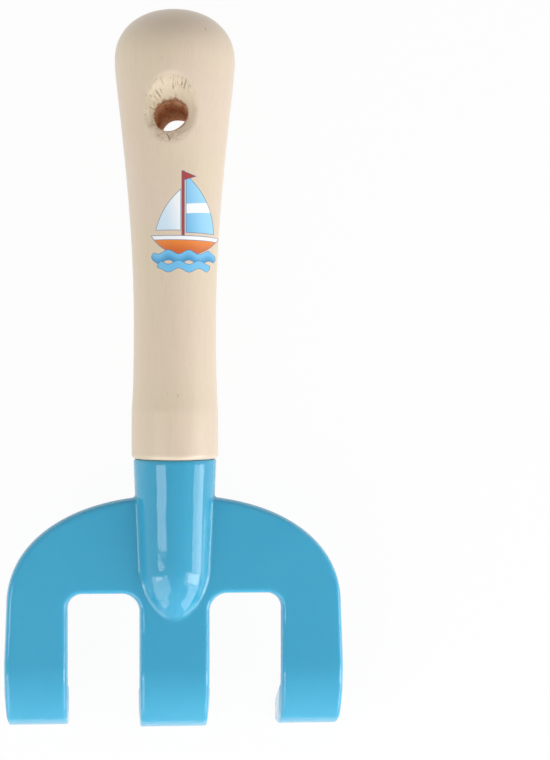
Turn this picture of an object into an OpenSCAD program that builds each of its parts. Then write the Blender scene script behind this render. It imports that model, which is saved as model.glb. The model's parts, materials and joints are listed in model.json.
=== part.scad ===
// Child's sand rake: a turned wooden handle whose tenon is glued and screwed into
// the socket of a one-piece moulded head with three curved flat tines.
// The rake lies face up on z = 0, on its three tine tips and the handle's swell.
// The handle runs along +Y, the tines reach towards -Y and bend down.

/* [Handle] */
// Length of the handle from its round end to the shoulder
handle_len = 125; // [110:1:145]
// Diameter of the swell below the round end
swell_d = 33.6; // [30:0.2:38]
// Distance from the round end to the swell
swell_from_end = 14; // [11:0.5:17]
// Squareness of the round end, where 2 is an ellipse
dome_power = 2.2; // [2:0.1:3]
// Length over which the swell holds its width
swell_ease = 7; // [4:0.5:12]
// Diameter of the waist
waist_d = 23; // [21:0.2:24]
// Distance from the round end to the waist
waist_from_end = 87; // [80:1:95]
// Length over which the flank eases into the waist
waist_ease = 34; // [24:1:45]
// Diameter of the foot that sits on the head
foot_d = 24.2; // [23.4:0.2:27]
// Length of the foot's straight side
foot_len = 13; // [8:0.5:18]
// Length over which the waist eases out towards the foot
waist_hold = 22; // [12:1:24]
// Length over which the foot's side eases into the waist
foot_ease = 2; // [1:0.5:8]
// Rounding of the foot's edge
foot_round = 1.2; // [0.6:0.1:1.8]

/* [Tenon] */
// Diameter of the tenon inside the socket
tenon_d = 15; // [12:0.5:16]
// Chamfer on the tenon's end
tenon_chamfer = 1; // [0.5:0.1:2]
// Gap between the tenon's end and the bottom of the straight bore
tenon_end_gap = 1; // [0.5:0.1:3]
// Gap for the adhesive around the tenon
glue_gap = 0.1; // [0.05:0.05:0.3]

/* [Hang hole] */
// Diameter of the hole through the handle
hole_d = 9.5; // [8:0.5:11]
// Distance from the round end to the middle of the hole
hole_from_end = 31.8; // [28:0.2:38]
// Diameter of the front countersink where it meets the handle's crest
countersink_d = 17; // [13:0.5:18]
// Diameter of the back countersink where it meets the handle's crest
back_countersink_d = 11.5; // [11:0.5:16]
// Angle by which the handle sits turned in the socket, seen at the hole
handle_turn = 4; // [0:0.5:10]

/* [Socket] */
// Diameter of the socket at its mouth
collar_d = 23.2; // [22.4:0.2:24.4]
// Rounding of the mouth's edge
collar_round = 0.8; // [0.4:0.1:1.4]
// Length of the socket from its mouth to the end of its nose
socket_len = 47; // [44:1:52]
// Diameter of the socket where its nose starts
nose_d = 21.2; // [20:0.2:22]
// Length of the rounded nose
nose_len = 17; // [14:1:20]
// Roundness of the nose, where 2 is an ellipse
nose_power = 1.7; // [1.4:0.05:2]
// Wall at the end of the nose
nose_wall = 3; // [2:0.25:4]

/* [Plate] */
// Thickness of the plate and the tines
plate_t = 3.2; // [2.6:0.2:4]
// Height of the plate's front face above the socket's axis
plate_lift = 4.3; // [3:0.1:5.5]
// Width of the arch
arch_w = 93; // [88:0.5:96]
// Rise of the arch
arch_h = 31; // [28:0.5:34]
// Squareness of the arch, where 2 is an ellipse
arch_power = 2.2; // [2:0.1:3]
// Distance from the mouth to the arch's widest line
arch_from_mouth = 41.2; // [39:0.2:44]
// Width of the middle tine
mid_tine_w = 19.4; // [16:0.2:24]
// How far each side of the head spreads from the arch to the bend
side_spread = 0.6; // [0:0.1:2]
// Width of the gap between two tines
gap_w = 20; // [18:0.2:22]
// Distance from the mouth to the closed end of each gap
gap_from_mouth = 37.5; // [36:0.5:42]
// Corner radius of a gap beside the middle tine
gap_inner_round = 5; // [2:0.5:7]
// Corner radius of a gap beside the outer tine
gap_outer_round = 4; // [2:0.5:7]

/* [Tines] */
// Distance from the mouth to the start of the bend
bend_from_mouth = 57.6; // [54:0.2:62]
// Radius of the bend's gentle first part on the front face
sweep_r = 25; // [18:0.5:30]
// Angle of the gentle part
sweep_angle = 38; // [30:1:42]
// Radius of the knee below the gentle part on the front face
knee_r = 3.6; // [3.2:0.1:5]
// Angle of the knee
knee_angle = 18; // [12:1:22]
// Radius of the hook below the knee on the front face
hook_r = 20; // [15:0.5:24]
// Angle of the hook
hook_angle = 28; // [20:1:32]
// How far each side of a tine draws in from the plate to the tip
tip_inset = 0.6; // [0.2:0.1:2]
// Thickness of the web along each side of a tine, under the bend
web_t = 1.8; // [1.2:0.2:2.4]
// Length of a web's foot from the tip's front edge
web_foot = 6.2; // [5:0.2:8]

/* [Fixing screw] */
// Diameter of the screw's thread
screw_d = 3; // [2.5:0.5:4]
// Diameter of the screw's core below the thread
screw_core_d = 2; // [1.6:0.1:2.4]
// Pitch of the screw's thread
screw_pitch = 1.3; // [1:0.1:1.6]
// Length of the screw with its countersunk head
screw_len = 12; // [10:1:14]
// Diameter of the screw's head
screw_head_d = 6; // [5:0.5:7]
// Length of the screw's point
screw_point = 2; // [1.5:0.5:3]
// Width of a slot of the cross recess
recess_w = 0.9; // [0.6:0.1:1.2]
// Depth of the cross recess
recess_depth = 1.2; // [0.8:0.1:1.4]
// Distance from the tenon's end to the screw
screw_from_end = 15; // [10:0.5:20]
// Gap between the screw and its hole
screw_gap = 0.05; // [0.05:0.05:0.2]

/* [Hidden] */
$fn = 96;

// Steps in a curve, and how far a cut runs past what it cuts
curve_steps = 24;
overrun = 1;

// Share of the head's width that the cross recess spans
recess_span_share = 0.6;

swell_r = swell_d / 2;
waist_r = waist_d / 2;
foot_r = foot_d / 2;
tenon_r = tenon_d / 2;
hole_r = hole_d / 2;
collar_r = collar_d / 2;
nose_r = nose_d / 2;
screw_r = screw_d / 2;
screw_core_r = screw_core_d / 2;
screw_head_r = screw_head_d / 2;

// The axis lies as high as the swell's radius, and the tines reach down to z = 0
axis_z = swell_r;
front_z = axis_z + plate_lift;
head_w = arch_w + 2 * side_spread;

// Which way the front face looks after bending down by an angle
function facing(angle) = [sin(angle), cos(angle)];

// The centres of the bend's three parts, as [distance from the mouth, height]
knee_end_angle = sweep_angle + knee_angle;
tip_angle = knee_end_angle + hook_angle;
sweep_centre = [bend_from_mouth, front_z - sweep_r];
knee_centre = sweep_centre + (sweep_r - knee_r) * facing(sweep_angle);
hook_centre = knee_centre - (hook_r - knee_r) * facing(knee_end_angle);

// The tine below its bend runs straight to z = 0
bend_end = hook_centre + hook_r * facing(tip_angle);
tine_run = bend_end[1] / sin(tip_angle);
head_len = bend_end[0] + tine_run * cos(tip_angle);

// Where each tine starts and ends on X, and the height of the plate's back
outer_tine_x = mid_tine_w / 2 + gap_w;
tine_spans = [
    [-head_w / 2, -outer_tine_x],
    [-mid_tine_w / 2, mid_tine_w / 2],
    [outer_tine_x, head_w / 2]
];
back_z = front_z - plate_t;

// The middle of the whole length is at y = 0
mouth_y = (head_len - handle_len) / 2;

bore_r = tenon_r + glue_gap;
bore_len = socket_len - nose_len;
tenon_len = bore_len - tenon_end_gap;
screw_from_mouth = tenon_len - screw_from_end;

// A cubic curve from a to d, without its first point
function curve(a, b, c, d) = [
    for (i = [1 : curve_steps])
        let (t = i / curve_steps, u = 1 - t)
        a * u ^ 3 + 3 * b * t * u ^ 2 + 3 * c * t ^ 2 * u + d * t ^ 3
];

// An arc of radius r about a centre, between two angles
function arc(centre, r, from, to) = [
    for (i = [0 : curve_steps])
        let (angle = from + (to - from) * i / curve_steps)
        centre + r * [cos(angle), sin(angle)]
];

// A quarter of an ellipse from its side, [r, 0], to its end, [0, length]
function quarter(r, length, power = 2) = [
    for (i = [0 : curve_steps])
        let (angle = 90 * i / curve_steps)
        [r * cos(angle) ^ (2 / power), length * sin(angle) ^ (2 / power)]
];

function reversed(points) = [for (i = [len(points) - 1 : -1 : 0]) points[i]];

// Heights on the handle, above its shoulder
swell_z = handle_len - swell_from_end;
waist_z = handle_len - waist_from_end;
hole_z = handle_len - hole_from_end;

// The handle's outside, from its round end down to the shoulder, as [radius, height]
handle_side = concat(
    [for (p = reversed(quarter(swell_r, swell_from_end, dome_power))) [p[0], p[1] + swell_z]],
    curve(
        [swell_r, swell_z], [swell_r, swell_z - swell_ease],
        [waist_r, waist_z + waist_ease], [waist_r, waist_z]
    ),
    curve(
        [waist_r, waist_z], [waist_r, waist_z - waist_hold],
        [foot_r, foot_len + foot_ease], [foot_r, foot_len]
    ),
    arc([foot_r - foot_round, foot_round], foot_round, 0, -90)
);

// The handle's radius at the hang hole
hole_crest = lookup(hole_z, [for (p = handle_side) [p[1], p[0]]]);

// The handle is drilled as it lies on its swell and its foot, so the hole leans
hole_lean = atan((swell_r - foot_r) / (swell_z - foot_len));
hole_wall = 2 * hole_crest + hole_d - (countersink_d + back_countersink_d) / 2;

// The socket's outside radius at a distance from its mouth, above the nose
function socket_r(distance) = lookup(distance, [[collar_round, collar_r], [bore_len, nose_r]]);

// The flat of the screw's head lies just inside the socket's round side
screw_seat_r = sqrt(socket_r(screw_from_mouth) ^ 2 - screw_head_r ^ 2) - screw_gap;
screw_head_len = screw_head_r - screw_core_r;

echo(str("head_len ", head_len, ", whole length ", head_len + handle_len));
echo(str("mouth_y ", mouth_y, ", axis_z ", axis_z, ", hole_y ", mouth_y + hole_z));
echo(str("hang hole wall ", hole_wall, " long, leaning by ", hole_lean, " degrees"));
echo(str("gap from y ", mouth_y - gap_from_mouth, " to ", mouth_y - head_len));

// Puts a turned piece, drawn with its axis up from the socket's mouth, along +Y
module on_axis() {
    translate([0, mouth_y, axis_z]) rotate([-90, 0, 0]) children();
}

// Puts the screw, drawn with its point up from the flat of its head, under the socket
module on_screw_seat() {
    translate([0, mouth_y - screw_from_mouth, axis_z - screw_seat_r]) children();
}

// A countersink that is d wide at the handle's crest
module countersink(d) {
    depth = d / 2 - hole_r;
    flare = depth + swell_r - hole_crest + overrun;
    translate([0, 0, hole_crest - depth]) cylinder(h = flare, r1 = hole_r, r2 = hole_r + flare);
}

// The hang hole with a countersink at each end, about its own middle
module hang_hole() {
    cylinder(h = 2 * (hole_crest + overrun), r = hole_r, center = true);
    countersink(countersink_d);
    mirror([0, 0, 1]) countersink(back_countersink_d);
}

// The screw's outside as [radius, height], where grow widens it into its hole
function screw_side(grow) = [
    [0, 0],
    [screw_head_r + grow, 0],
    [screw_core_r + grow, screw_head_len],
    [screw_r + grow, screw_head_len + screw_pitch],
    [screw_r + grow, screw_len - screw_point],
    [0, screw_len + grow]
];

// The screw's hole, open past the round side of the socket
module screw_hole() {
    rotate_extrude() polygon(screw_side(screw_gap));
    rise = socket_r(screw_from_mouth) - screw_seat_r + overrun;
    translate([0, 0, -rise]) cylinder(h = rise, r = screw_head_r + screw_gap);
}

module wooden_handle() {
    side = concat(
        handle_side,
        [
            [tenon_r, 0],
            [tenon_r, tenon_chamfer - tenon_len],
            [tenon_r - tenon_chamfer, -tenon_len],
            [0, -tenon_len]
        ]
    );
    color([0.88, 0.80, 0.69])
        difference() {
            on_axis() rotate_extrude() polygon(side);
            translate([0, mouth_y + hole_z, axis_z])
                rotate([0, -handle_turn, 0])
                    rotate([-hole_lean, 0, 0])
                        hang_hole();
            on_screw_seat() screw_hole();
        }
}

// The socket's outside: a slightly tapered collar with a rounded mouth and nose
module socket_body() {
    nose = quarter(nose_r, nose_len, nose_power);
    side = concat(
        [[0, 0]],
        reversed(arc([collar_r - collar_round, -collar_round], collar_round, 0, 90)),
        [for (p = nose) [p[0], -bore_len - p[1]]]
    );
    rotate_extrude() polygon(side);
}

// The socket's hollow: a straight bore for the tenon and a rounded end
module socket_core() {
    end = quarter(bore_r, nose_len - nose_wall, nose_power);
    translate([0, 0, -bore_len]) cylinder(h = bore_len + overrun, r = bore_r);
    rotate_extrude() polygon(concat([[0, -bore_len]], [for (p = end) [p[0], -bore_len - p[1]]]));
}

// A gap between two tines from above, open towards -Y, beside the middle tine on +X
module tine_gap() {
    near = mid_tine_w / 2;
    far = near + gap_w;
    reach = head_len - gap_from_mouth + overrun;
    translate([near, -gap_from_mouth - reach]) square([gap_inner_round, reach - gap_inner_round]);
    translate([near + gap_inner_round, -gap_from_mouth - reach])
        square([gap_w - gap_inner_round - gap_outer_round, reach]);
    translate([far - gap_outer_round, -gap_from_mouth - reach])
        square([gap_outer_round, reach - gap_outer_round]);
    translate([near + gap_inner_round, -gap_from_mouth - gap_inner_round]) circle(gap_inner_round);
    translate([far - gap_outer_round, -gap_from_mouth - gap_outer_round]) circle(gap_outer_round);
}

// The plate from above: a half-elliptical arch that runs on into three tines
module plate_outline() {
    tip_y = -head_len - overrun;
    half = concat(
        [[0, tip_y], [head_w / 2, tip_y], [head_w / 2, -bend_from_mouth]],
        [for (p = quarter(arch_w / 2, arch_h, arch_power)) [p[0], p[1] - arch_from_mouth]]
    );
    for (side = [0, 1])
        mirror([side, 0])
            difference() {
                polygon(half);
                tine_gap();
            }
}

// A sector of a disc about a centre, between two angles of the front face
module sector(centre, r, from, to) {
    translate(centre)
        intersection() {
            circle(r);
            polygon(r / cos(to - from) * [[0, 0], facing(from), facing(to)]);
        }
}

// The area behind the plate's front face from the side, as [distance from the mouth, height],
// with the face set back by inset
module behind_front(inset) {
    sweep_end = sweep_centre + (sweep_r - inset) * facing(sweep_angle);
    knee_end = hook_centre + (hook_r - inset) * facing(knee_end_angle);
    hook_end = hook_centre + (hook_r - inset) * facing(tip_angle);
    below_tip = hook_end + (tine_run + plate_t) * [cos(tip_angle), -sin(tip_angle)];
    low = -plate_t - inset;
    polygon([
        [-inset, low], [-inset, front_z - inset], [bend_from_mouth, front_z - inset],
        sweep_end, knee_end, hook_end, below_tip, [below_tip[0], low]
    ]);
    sector(sweep_centre, sweep_r - inset, 0, sweep_angle);
    translate(knee_centre) circle(max(knee_r - inset, 0));
    sector(hook_centre, hook_r - inset, knee_end_angle, tip_angle);
}

// The plate from the side, cut off level at z = 0
module plate_section() {
    intersection() {
        difference() {
            behind_front(0);
            behind_front(plate_t);
        }
        square([head_len + overrun, front_z + overrun]);
    }
}

// The tines from the front: each draws in from the plate's back to its tip
module tine_fronts() {
    translate([-head_w / 2 - overrun, back_z]) square([head_w + 2 * overrun, plate_t + overrun]);
    for (span = tine_spans)
        polygon([
            [span[0], back_z + overrun], [span[0], back_z], [span[0] + tip_inset, 0],
            [span[1] - tip_inset, 0], [span[1], back_z], [span[1], back_z + overrun]
        ]);
}

module plate() {
    intersection() {
        translate([0, mouth_y, -overrun]) linear_extrude(front_z + 2 * overrun) plate_outline();
        translate([0, mouth_y, 0]) rotate([90, 0, -90])
            linear_extrude(head_w + 2 * overrun, center = true) plate_section();
        translate([0, mouth_y, 0]) rotate([90, 0, 0]) linear_extrude(head_len + overrun) tine_fronts();
    }
}

// A web from the side: it fills the hollow behind the bend down to a slanting edge
module web_section() {
    intersection() {
        behind_front(plate_t / 2);
        polygon([[bend_from_mouth, front_z], [head_len - web_foot, 0], [head_len, 0], [head_len, front_z]]);
    }
}

// The webs from the front, one along each side of every tine
module web_fronts() {
    for (span = tine_spans)
        for (end = [0, 1]) {
            inward = 1 - 2 * end;
            root = span[end];
            tip = root + inward * tip_inset;
            polygon([
                [root, front_z], [root, back_z], [tip, 0],
                [tip + inward * web_t, 0], [root + inward * web_t, back_z], [root + inward * web_t, front_z]
            ]);
        }
}

module webs() {
    intersection() {
        translate([0, mouth_y, 0]) rotate([90, 0, -90])
            linear_extrude(head_w + 2 * overrun, center = true) web_section();
        translate([0, mouth_y, 0]) rotate([90, 0, 0]) linear_extrude(head_len + overrun) web_fronts();
    }
}

module fork_head() {
    color([0.27, 0.64, 0.80])
        difference() {
            union() {
                plate();
                webs();
                on_axis() socket_body();
            }
            on_axis() socket_core();
            on_screw_seat() screw_hole();
        }
}

// Thread ridges as rings on the core, and a cross recess in the flat of the head
module fixing_screw() {
    thread_len = screw_len - screw_point - screw_head_len;
    turns = floor(thread_len / screw_pitch);
    ridges = [
        for (i = [0 : turns - 1])
            each [
                [screw_core_r, screw_head_len + i * screw_pitch],
                [screw_r, screw_head_len + (i + 1) * screw_pitch],
                [screw_core_r, screw_head_len + (i + 1) * screw_pitch]
            ]
    ];
    side = concat(
        [[0, 0], [screw_head_r, 0]],
        ridges,
        [[screw_core_r, screw_len - screw_point], [0, screw_len]]
    );
    recess_span = screw_head_d * recess_span_share;
    color([0.75, 0.76, 0.78])
        on_screw_seat()
            difference() {
                rotate_extrude() polygon(side);
                for (turn = [0, 90])
                    rotate(turn)
                        translate([-recess_span / 2, -recess_w / 2, -overrun])
                            cube([recess_span, recess_w, recess_depth + overrun]);
            }
}

wooden_handle();
fork_head();
fixing_screw();
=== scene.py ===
"""Looks of the sand rake: a turned wooden handle in a glossy moulded fork head, on a white floor."""
import json
import math

import bpy
import numpy as np
import openvdb
from mathutils import Matrix, Vector


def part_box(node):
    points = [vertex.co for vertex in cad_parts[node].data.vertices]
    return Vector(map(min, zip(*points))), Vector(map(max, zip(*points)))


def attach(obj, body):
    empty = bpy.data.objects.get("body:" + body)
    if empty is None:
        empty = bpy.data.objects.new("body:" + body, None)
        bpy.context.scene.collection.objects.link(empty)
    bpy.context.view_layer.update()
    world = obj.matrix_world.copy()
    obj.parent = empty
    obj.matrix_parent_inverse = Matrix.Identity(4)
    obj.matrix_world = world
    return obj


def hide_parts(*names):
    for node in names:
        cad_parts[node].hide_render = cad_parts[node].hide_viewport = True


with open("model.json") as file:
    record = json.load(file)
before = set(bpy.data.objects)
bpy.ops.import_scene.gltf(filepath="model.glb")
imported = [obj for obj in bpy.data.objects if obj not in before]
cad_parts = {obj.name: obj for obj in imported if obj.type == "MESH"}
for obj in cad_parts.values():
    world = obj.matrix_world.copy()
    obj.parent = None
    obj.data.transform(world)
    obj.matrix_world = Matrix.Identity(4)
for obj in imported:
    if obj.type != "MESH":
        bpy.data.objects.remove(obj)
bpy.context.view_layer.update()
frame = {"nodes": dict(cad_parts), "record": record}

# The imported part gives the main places, in millimetres
MM = 0.001
handle_low, handle_high = (np.array(corner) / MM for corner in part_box("wooden_handle"))
head_low, head_high = (np.array(corner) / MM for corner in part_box("fork_head"))
screw_low, screw_high = (np.array(corner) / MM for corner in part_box("fixing_screw"))
hang_hole = next(mount for mount in frame["record"]["mounts"] if mount["name"] == "hang_hole")

SWELL_R = (handle_high[0] - handle_low[0]) / 2
AXIS_Z = (handle_high[2] + handle_low[2]) / 2
END_Y = handle_high[1]
MOUTH_Y = head_high[1]
HANDLE_LEN = END_Y - MOUTH_Y
TENON_LEN = MOUTH_Y - handle_low[1]
HEAD_W = head_high[0] - head_low[0]

# Handle
SWELL_FROM_END = 14.0
DOME_POWER = 2.2
SWELL_EASE = 7.0
WAIST_R = 11.5
WAIST_FROM_END = 87.0
WAIST_EASE = 34.0
WAIST_HOLD = 22.0
FOOT_R = 12.1
FOOT_LEN = 13.0
FOOT_EASE = 2.0
FOOT_ROUND = 1.2
TENON_R = 7.5
TENON_CHAMFER = 1.0

# Hang hole, with a countersink of 45 degrees at each end
HOLE_MIDDLE = np.array(hang_hole["pos_m"]) / MM
HOLE_AXIS = np.array(hang_hole["axis"]) / np.linalg.norm(hang_hole["axis"])
HOLE_R = hang_hole["dims"]["r_mm"]
FRONT_SINK_R = 8.5
BACK_SINK_R = 5.75
SINK_SLOPE_SHARE = math.sqrt(0.5)
SINK_EDGE_ROUND = 0.7
SINK_THROAT_ROUND = 0.35

# Wood torn out of the front countersink, most on the side across from its lip
TORN_WAY = (-0.6, 0.8)
TORN_DEPTH = 0.26
TORN_REACH = 3.4
TORN_WAVE = (1.6, 4.5, 2.4)
TORN_WAVES = 14
TORN_SEED = 3
TORN_BACK_SHARE = 0.3
TORN_SIDE_SHARE = 0.7
TORN_TURN_SHARE = 0.6
TORN_LIP_SHARE = 0.2
TORN_RIM_SHARE = 0.5
TORN_OUTSIDE_SHARE = 0.1
LIP_WAY = (0.64, -0.77)
LIP_DEPTH = 1.5
LIP_REACH = 2.2
LIP_POWER = 1.5

# Socket
COLLAR_R = 11.6
COLLAR_ROUND = 0.8
NOSE_R = 10.4
NOSE_LEN = 16.6
NOSE_WALL = 3.0
NOSE_POWER = 1.7
SOCKET_LEN = 46.6
BORE_R = 7.6
SOCKET_WALL_BITE = 1.5
CREASE_FILLET = 0.75
CREASE_ANGLE = math.radians(38)

# Plate and tines
PLATE_T = 3.2
PLATE_LIFT = 4.3
FRONT_Z = AXIS_Z + PLATE_LIFT
ARCH_HALF_W = 46.5
ARCH_H = 31.0
ARCH_POWER = 2.2
ARCH_FROM_MOUTH = 41.2
MID_TINE_HALF_W = 9.7
GAP_W = 20.0
GAP_FROM_MOUTH = 37.5
GAP_INNER_ROUND = 5.0
GAP_OUTER_ROUND = 4.0
BEND_FROM_MOUTH = 57.6
SWEEP_R = 25.0
SWEEP_ANGLE = math.radians(38)
KNEE_R = 3.6
KNEE_ANGLE = math.radians(18)
HOOK_R = 20.0
HOOK_ANGLE = math.radians(28)
KNEE_END_ANGLE = SWEEP_ANGLE + KNEE_ANGLE
TIP_ANGLE = KNEE_END_ANGLE + HOOK_ANGLE
TIP_INSET = 0.7
TIP_GAP_INSET = 0.1
WEB_T = 1.8
WEB_FOOT = 6.2
WEB_FROM_MOUTH = 61.3
EDGE_ROUND = 0.9
TIP_EDGE_ROUND = 0.12
TIP_ROUND = 0.25
FRONT_DRAFT = 0.5
BACK_DRAFT = 0.3

# How far the left, middle and right tines lean to the left at their tips and reach past the CAD's
TIP_LEAN = (0.8, 0.8, 0.5)
TINE_REACH = (-0.5, 0.5, 0.0)

# Screw hole
SCREW_R = 1.5
SCREW_CORE_R = 1.0
SCREW_HEAD_R = 3.0
SCREW_PITCH = 1.3
SCREW_POINT = 2.0
SCREW_GAP = 0.05

# Meshing
CURVE_STEPS = 24
FIELD_STEP = 0.2
FIELD_MARGIN = 3.0
TABLE_HAIR = 0.001
LEAST_SHARE = 1e-6
WOOD_VOXEL = 0.44
PLASTIC_VOXEL = 0.45
MARGIN_VOXELS = 3
RELAX_ROUNDS = 4
PULL_ROUNDS = 3
SLOPE_STEP = 0.02
LEAST_STEEPNESS = 0.25


def cubic(a, b, c, d):
    """Points of a cubic curve from a to d."""
    t = np.linspace(0, 1, CURVE_STEPS + 1)[:, None]
    a, b, c, d = (np.array(point) for point in (a, b, c, d))
    return a * (1 - t) ** 3 + 3 * b * t * (1 - t) ** 2 + 3 * c * t ** 2 * (1 - t) + d * t ** 3


def quarter(radius, length, power):
    """Points of a quarter oval, elliptic at a power of 2, from [radius, 0] to [0, length]."""
    angle = np.linspace(0, math.pi / 2, CURVE_STEPS + 1)
    across = np.maximum(np.cos(angle), 0) ** (2 / power)
    return np.stack([radius * across, length * np.sin(angle) ** (2 / power)], axis=1)


def arc(centre, radius, start, end):
    """Points of an arc between two angles in degrees."""
    angle = np.radians(np.linspace(start, end, CURVE_STEPS + 1))
    return np.array(centre) + radius * np.stack([np.cos(angle), np.sin(angle)], axis=1)


def round_cut(a, b, radius):
    """Field of what two fields share, with the edge between them rounded."""
    corner = np.hypot(np.maximum(a + radius, 0), np.maximum(b + radius, 0))
    return np.minimum(np.maximum(a, b), -radius) + corner


def round_join(a, b, radius):
    """Field of two fields together, with a fillet between them."""
    corner = np.hypot(np.maximum(radius - a, 0), np.maximum(radius - b, 0))
    return np.maximum(np.minimum(a, b), radius) - corner


def turned(loop):
    """Field of a turned solid whose half section is a closed loop of [radius, height] points."""
    loop = np.array(loop, float)
    radii = np.arange(0, loop[:, 0].max() + FIELD_MARGIN, FIELD_STEP)
    heights = np.arange(loop[:, 1].min() - FIELD_MARGIN, loop[:, 1].max() + FIELD_MARGIN, FIELD_STEP)
    radius, height = np.meshgrid(radii, heights, indexing="ij")
    nearest = np.full(radius.shape, np.inf)
    inside = np.zeros(radius.shape, bool)
    for a, b in zip(loop, np.roll(loop, -1, axis=0)):
        run = b - a
        if max(a[0], b[0]) > 0 and run.any():
            share = ((radius - a[0]) * run[0] + (height - a[1]) * run[1]) / (run @ run)
            share = np.clip(share, 0, 1)
            gap = np.hypot(radius - a[0] - share * run[0], height - a[1] - share * run[1])
            nearest = np.minimum(nearest, gap)
        if run[1] != 0:
            crossing = a[0] + run[0] * (height - a[1]) / run[1]
            inside ^= ((a[1] > height) != (b[1] > height)) & (radius < crossing)
    table = np.where(inside, -nearest, nearest)

    def field(radius, height):
        across = np.clip(radius / FIELD_STEP, 0, len(radii) - 1 - TABLE_HAIR)
        along = np.clip((height - heights[0]) / FIELD_STEP, 0, len(heights) - 1 - TABLE_HAIR)
        i, j = across.astype(int), along.astype(int)
        u, v = across - i, along - j
        near = (1 - v) * table[i, j] + v * table[i, j + 1]
        far = (1 - v) * table[i + 1, j] + v * table[i + 1, j + 1]
        return (1 - u) * near + u * far

    return field


def ripples(points, wave, count, seed):
    """Smooth noise of about unit size from seeded sine waves, with its wavelengths along x, y and z."""
    draw = np.random.default_rng(seed)
    total = np.zeros(points.shape[:-1])
    for _ in range(count):
        direction = draw.normal(size=3)
        direction /= np.linalg.norm(direction)
        turns = 2 * math.pi * direction / np.array(wave)
        total += np.sin(points @ turns + draw.uniform(0, 2 * math.pi))
    return total / math.sqrt(count / 2)


def pull_onto(field, points):
    """Moves points onto the zero surface of a field."""
    for _ in range(PULL_ROUNDS):
        value = field(points)
        slope = np.empty_like(points)
        for axis in range(3):
            step = np.zeros(3)
            step[axis] = SLOPE_STEP
            slope[:, axis] = (field(points + step) - field(points - step)) / (2 * SLOPE_STEP)
        steepness = np.maximum((slope ** 2).sum(axis=1), LEAST_STEEPNESS)
        points = points - slope * (value / steepness)[:, None]
    return points


def relaxed(field, points, quads):
    """Evens out the points of a mesh and keeps them on the zero surface of its field."""
    near = np.concatenate([quads[:, i] for i in range(4)])
    far = np.concatenate([quads[:, (i + 1) % 4] for i in range(4)])
    count = np.bincount(near, minlength=len(points))[:, None]
    for _ in range(RELAX_ROUNDS):
        sums = [np.bincount(near, points[far, axis], len(points)) for axis in range(3)]
        points = pull_onto(field, (points + np.stack(sums, axis=1) / count) / 2)
    return points


def skin(name, field, low, high, voxel, material):
    """Meshes the zero surface of a field in millimetres and returns it as an object."""
    margin = MARGIN_VOXELS * voxel
    starts = np.array(low) - margin
    axes = [np.arange(start, end + margin, voxel) for start, end in zip(starts, high)]
    values = field(np.stack(np.meshgrid(*axes, indexing="ij"), axis=-1))
    grid = openvdb.FloatGrid()
    grid.copyFromArray(values.astype(np.float32))
    points, quads = grid.convertToQuads(0.0)
    quads = quads.astype(int)
    points = pull_onto(field, points.astype(float) * voxel + starts)
    points = relaxed(field, points, quads)
    mesh = bpy.data.meshes.new(name)
    mesh.from_pydata((points * MM).tolist(), [], quads.tolist())
    mesh.polygons.foreach_set("use_smooth", [True] * len(quads))
    mesh.materials.append(material)
    mesh.update()
    piece = bpy.data.objects.new(name, mesh)
    bpy.context.scene.collection.objects.link(piece)
    return piece


# Handle

handle_side = np.concatenate([
    (quarter(SWELL_R, SWELL_FROM_END, DOME_POWER) + [0, HANDLE_LEN - SWELL_FROM_END])[::-1],
    cubic(
        [SWELL_R, HANDLE_LEN - SWELL_FROM_END], [SWELL_R, HANDLE_LEN - SWELL_FROM_END - SWELL_EASE],
        [WAIST_R, HANDLE_LEN - WAIST_FROM_END + WAIST_EASE], [WAIST_R, HANDLE_LEN - WAIST_FROM_END],
    ),
    cubic(
        [WAIST_R, HANDLE_LEN - WAIST_FROM_END], [WAIST_R, HANDLE_LEN - WAIST_FROM_END - WAIST_HOLD],
        [FOOT_R, FOOT_LEN + FOOT_EASE], [FOOT_R, FOOT_LEN],
    ),
    arc([FOOT_R - FOOT_ROUND, FOOT_ROUND], FOOT_ROUND, 0, -90),
])
tenon_side = [
    [TENON_R, 0],
    [TENON_R, TENON_CHAMFER - TENON_LEN],
    [TENON_R - TENON_CHAMFER, -TENON_LEN],
    [0, -TENON_LEN],
]
turned_handle = turned(np.concatenate([handle_side, tenon_side]))


def handle_radius(height):
    """Radius of the handle at a height above the socket's mouth."""
    return np.interp(height, handle_side[::-1, 1], handle_side[::-1, 0])


hole_crest = handle_radius(HOLE_MIDDLE[1] - MOUTH_Y)


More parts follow.
